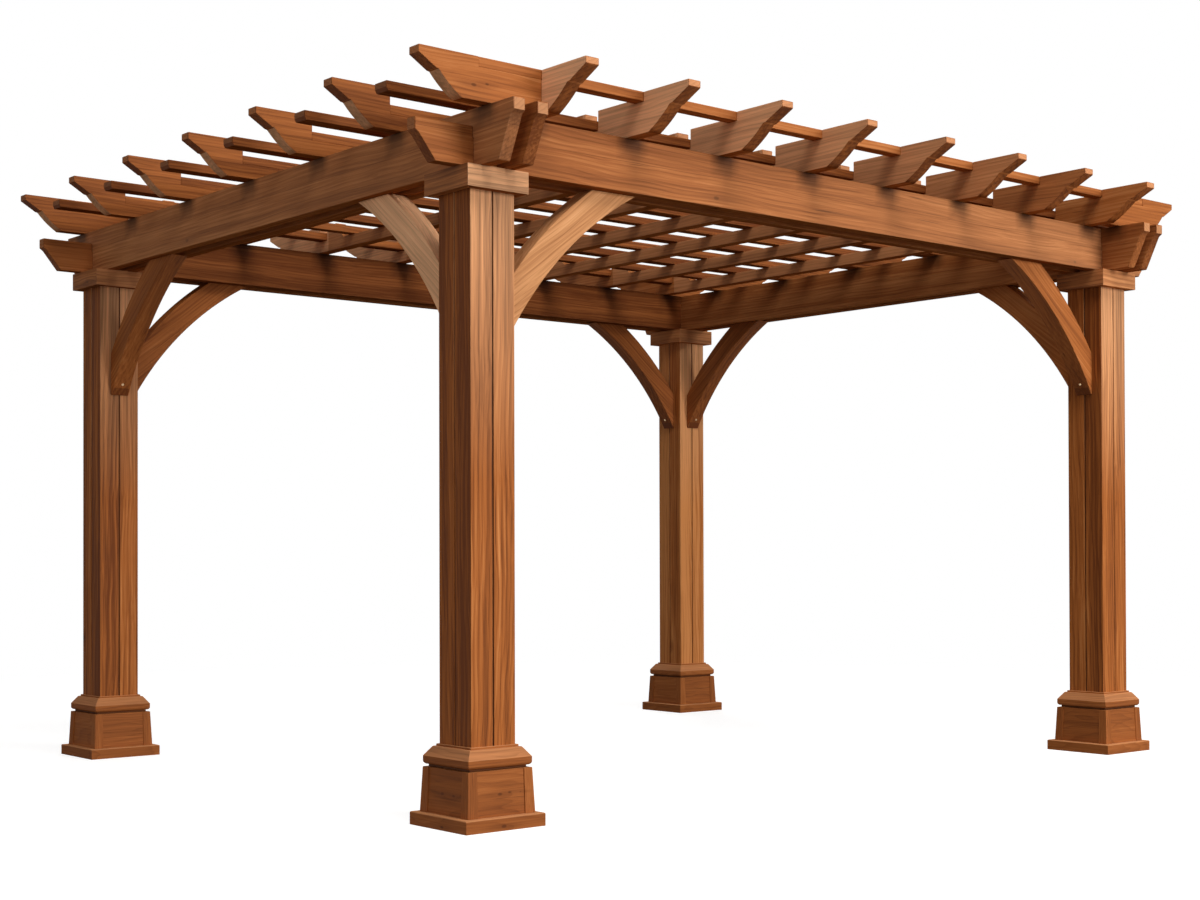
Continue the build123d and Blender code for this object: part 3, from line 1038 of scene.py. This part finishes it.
@dataclass
class Beams:
    """The doubled planks on the posts, each glued up from two boards, with painted shadow under the boards
    that cross them.
    """

    wood: bpy.types.Material
    edge: float = 0.004
    joint_height: float = 0.56
    joint_half: float = 0.0014
    joint_shade: float = 0.5
    # The upper board is toned darker as painted shade from the rafters above.
    upper_darker: float = 0.06
    tone_range: float = 0.03
    stain_half: float = 0.03
    stain_reach: float = 0.085
    stain_drop: float = 0.05
    stain_shade: float = 0.86
    stain_fall: float = 0.85

    def build(self) -> None:
        """Make the planks on all four sides."""
        for side in ("front", "back", "left", "right"):
            for row in ("outer", "inner"):
                along = Fibre.X if side in ("front", "back") else Fibre.Y
                self.plank(f"beam_{side}_{row}", along)

    def plank(self, node: str, along: Fibre) -> None:
        """Make one plank.

        Args:
            node: Name of the frame node.
            along: Direction in which it runs.
        """
        timber = Timber(node)
        low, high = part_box(node)
        joint = low.z + self.joint_height * (high.z - low.z)
        self.stain(timber, along, joint, high.z)
        look = PLANK_LOOKS.get(node, PlankLook())

        def choose(patch: Patch) -> Board:
            """Choose the upper or the lower board of the plank for a face."""
            upper = patch.centre.z > joint
            outward = max(0.0, -patch.normal.x - patch.normal.y)
            return Board(
                f"{patch.solid}{upper}", along.vector, Fibre.Z.vector,
                tone=look.tone - self.upper_darker * upper, tone_range=self.tone_range,
                bleach=look.bleach * outward, fade=look.fade * outward,
            )

        timber.finish(self.wood, choose)

    def stain(self, timber: Timber, along: Fibre, joint: float, top: float) -> None:
        """Round a plank's edges, darken its joint, and paint shadow on the wood under each board that
        crosses it.

        Args:
            timber: The plank.
            along: Direction in which it runs.
            joint: Height of the joint between its two boards.
            top: Height of its top.
        """
        crossings = rafter_places() if along is Fibre.X else row_places()
        levels = (joint - self.joint_half, joint, joint + self.joint_half, top - self.stain_drop)
        for level in levels:
            timber.cut(Fibre.Z.vector * level, Fibre.Z.vector)
        for crossing in crossings:
            for shift in (-self.stain_reach, -self.stain_half, self.stain_half, self.stain_reach):
                timber.cut(along.vector * (crossing + shift), along.vector)
        timber.round_edges(self.edge, sharper_than=60)
        for vert in timber.bm.verts:
            aside = min(abs(vert.co.dot(along.vector) - crossing) for crossing in crossings)
            if abs(vert.co.z - joint) < WELD:
                timber.shade(vert, self.joint_shade)
            # Painted shadow under each crossing board, darkest at the top.
            elif aside < self.stain_half + WELD:
                share = max(0.0, (vert.co.z - joint) / (top - joint))
                timber.shade(vert, self.stain_shade * share ** self.stain_fall)


@dataclass
class Roof:
    """Rafters, battens and tail boards."""

    wood: bpy.types.Material
    edge: float = 0.003
    tail_start: float = 1.3
    greyed_fall: float = 1.1
    greyed_inside: float = 0.25
    tail_tone: float = 0.38
    hollow_top: float = 2.56
    hollow_bleach: float = 0.6
    row_half: float = 0.06
    outer_tone: float = 0.5
    row_tone: float = 0.3
    bar_tone: float = 0.2
    batten_tone_range: float = 0.05
    rafters: list[float] = field(default_factory=rafter_places)
    rows: list[float] = field(default_factory=row_places)

    def build(self) -> None:
        """Make the whole roof."""
        for node in rafter_nodes():
            self.boards(node, self.rafter_at, cuts=(-self.tail_start, self.tail_start))
        for node in ("tail_boards_left", "tail_boards_right"):
            self.boards(node, self.tail_at)
        self.boards("battens", self.batten_at)

    def boards(self, node: str, chooser: Chooser, cuts: tuple[float, ...] = ()) -> None:
        """Make the boards of one node.

        Args:
            node: Name of the frame node.
            chooser: Chooses the board of a face.
            cuts: Places along Y where the boards' looks change.
        """
        timber = Timber(node)
        for place in cuts:
            timber.cut(Fibre.Y.vector * place, Fibre.Y.vector)
        timber.round_edges(self.edge, sharper_than=60)
        timber.finish(self.wood, chooser)

    def rafter_at(self, patch: Patch) -> Board:
        """Choose the board of a rafter: painted paler on its left side, as painted light and sheen, more at
        the left rafters' tails.

        Args:
            patch: The face.

        Returns:
            The rafter.
        """
        painted_light_and_sheen = 0.0
        # Painted light and sheen on the rafters' left faces.
        if patch.normal.x < -0.5:
            from_left = (patch.centre.x - self.rafters[0]) / (self.rafters[-1] - self.rafters[0])
            tail = abs(patch.centre.y) > self.tail_start
            painted_light_and_sheen = max(0.0, 1.0 - self.greyed_fall * from_left) if tail else self.greyed_inside
        return Board(patch.solid, Fibre.Y.vector, Fibre.Z.vector, bleach=painted_light_and_sheen)

    def tail_at(self, patch: Patch) -> Board:
        """Choose the board of a tail board: painted pale in the hollow under its nose, as a painted
        reflection.

        Args:
            patch: The face.

        Returns:
            The tail board.
        """
        # Painted reflection in the hollow under the nose.
        hollow = abs(patch.normal.x) > 0.3 and patch.normal.z < -0.3 and patch.centre.z < self.hollow_top
        bleach = self.hollow_bleach if hollow else 0.0
        return Board(patch.solid, Fibre.X.vector, Fibre.Z.vector, tone=self.tail_tone, bleach=bleach)

    def batten_at(self, patch: Patch) -> Board:
        """Choose the board of a batten: the bars between the rows are darker.

        Args:
            patch: The face.

        Returns:
            The batten.
        """
        if abs(patch.centre.y) > self.rows[-1] - self.row_half:
            tone = self.outer_tone
        elif min(abs(patch.centre.y - row) for row in self.rows) > self.row_half:
            tone = self.bar_tone
        else:
            tone = self.row_tone
        tone_range = self.batten_tone_range
        return Board(patch.solid, Fibre.X.vector, Fibre.Y.vector, tone=tone, tone_range=tone_range)


@dataclass(frozen=True)
class Lamp:
    """A square soft lamp, with its power in watts and its linear colour."""

    name: str
    place: Triple
    size: float
    power: float
    colour: Triple

    def hang(self, aim: Vector) -> None:
        """Hang the lamp.

        Args:
            aim: The point that it faces.
        """
        data = bpy.data.lights.new(self.name, "AREA")
        data.shape = "SQUARE"
        data.size = self.size
        data.energy = self.power
        data.color = self.colour
        lamp = bpy.data.objects.new(self.name, data)
        bpy.context.scene.collection.objects.link(lamp)
        place = Vector(self.place)
        turn = (aim - place).to_track_quat("-Z", "Y").to_matrix().to_4x4()
        lamp.matrix_world = Matrix.Translation(place) @ turn


@dataclass
class Studio:
    """Camera, lamps, floor and background."""

    eye: Triple = (-5.5595, -6.5965, 0.9491)
    yaw: float = 0.6967
    pitch: float = 0.0104
    roll: float = -0.0025
    lens: float = 54.412
    sensor: float = 36.0
    shift_up: float = 0.0693
    aim: Triple = (0.0, 0.0, 1.6)
    lamps: tuple[Lamp, ...] = (
        Lamp("key", (4.0, -15.0, 4.2), 6.0, 1550.0, (1.0, 0.97, 0.93)),
        Lamp("fill", (-12.0, -7.0, 3.0), 5.0, 230.0, (1.0, 0.98, 0.96)),
        Lamp("overhead", (-2.0, -7.0, 12.0), 6.0, 1150.0, (1.0, 0.98, 0.95)),
        Lamp("back", (7.0, 12.0, 7.0), 6.0, 700.0, (1.0, 0.98, 0.95)),
    )
    ambient: Triple = (0.95, 0.97, 1.0)
    ambient_strength: float = 0.2
    floor_size: float = 60.0
    floor_near: float = 3.2
    floor_far: float = 7.0
    floor_pale: Triple = (0.5, 0.5, 0.5)
    floor_glow: float = 0.72
    floor_dull: Triple = (0.16, 0.14, 0.12)

    def build(self) -> None:
        """Set up the whole studio."""
        self.camera()
        for lamp in self.lamps:
            lamp.hang(Vector(self.aim))
        self.world()
        self.floor()
        bpy.context.scene.view_settings.view_transform = "Standard"

    def camera(self) -> None:
        """Stand the camera where the photograph was taken from, with its lens and framing."""
        data = bpy.data.cameras.new("camera")
        data.lens = self.lens
        data.sensor_width = self.sensor
        data.shift_y = self.shift_up
        data.clip_end = 200.0
        camera = bpy.data.objects.new("camera", data)
        bpy.context.scene.collection.objects.link(camera)
        turn = Matrix.Rotation(-self.yaw, 4, "Z") @ Matrix.Rotation(math.pi / 2 + self.pitch, 4, "X")
        camera.matrix_world = Matrix.Translation(self.eye) @ turn @ Matrix.Rotation(self.roll, 4, "Z")
        bpy.context.scene.camera = camera

    def world(self) -> None:
        """Light from all round, and a white background to the camera and in reflections."""
        world = bpy.data.worlds.new("studio")
        bpy.context.scene.world = world
        graph = Graph(world)
        ambient = graph.add("Background", {"Color": (*self.ambient, 1.0), "Strength": self.ambient_strength})
        white = graph.add("Background", {"Color": WHITE})
        mix = graph.add("MixShader", {0: graph.seen(), 1: ambient.outputs[0], 2: white.outputs[0]})
        graph.show(mix, "OutputWorld")

    def floor(self) -> None:
        """Lay a plain pale floor that looks white, keeps the shadow and throws little light back."""
        bm = bmesh.new()
        bmesh.ops.create_grid(bm, x_segments=1, y_segments=1, size=self.floor_size)
        material = bpy.data.materials.new("floor_white")
        graph = Graph(material)
        pale = graph.add("BsdfDiffuse", {"Color": (*self.floor_pale, 1.0)})
        glow = graph.add("Emission", {"Color": WHITE, "Strength": self.floor_glow})
        near = graph.add("AddShader", {0: pale.outputs[0], 1: glow.outputs[0]})
        white = graph.add("Emission", {"Color": WHITE, "Strength": 1.0})
        reach = graph.length(graph.add("TexCoord").outputs["Object"])
        away = graph.smooth(reach, self.floor_near, self.floor_far)
        shown = graph.add("MixShader", {0: away, 1: near.outputs[0], 2: white.outputs[0]})
        dull = graph.add("BsdfDiffuse", {"Color": (*self.floor_dull, 1.0)})
        graph.show(graph.add("MixShader", {0: graph.seen(), 1: dull.outputs[0], 2: shown.outputs[0]}))
        floor = make_piece("floor", bm, material)


def main() -> None:
    """Build the pergola and its studio."""
    logging.basicConfig(level=logging.INFO)
    woods = (POST_WOOD, PLINTH_WOOD, BEAM_WOOD, LIT_BRACE_WOOD, BRACE_WOOD, RAFTER_WOOD)
    post, plinth, beam, pale, brace, rafter = [wood.material() for wood in woods]
    metal = MetalFinish().material()
    for side in Side:
        CornerPost(side, post, plinth, pale if side is Side.LEFT_FRONT else brace, metal).build()
    Beams(beam).build()
    Roof(rafter).build()
    Studio().build()


if __name__ == "__main__":
    main()
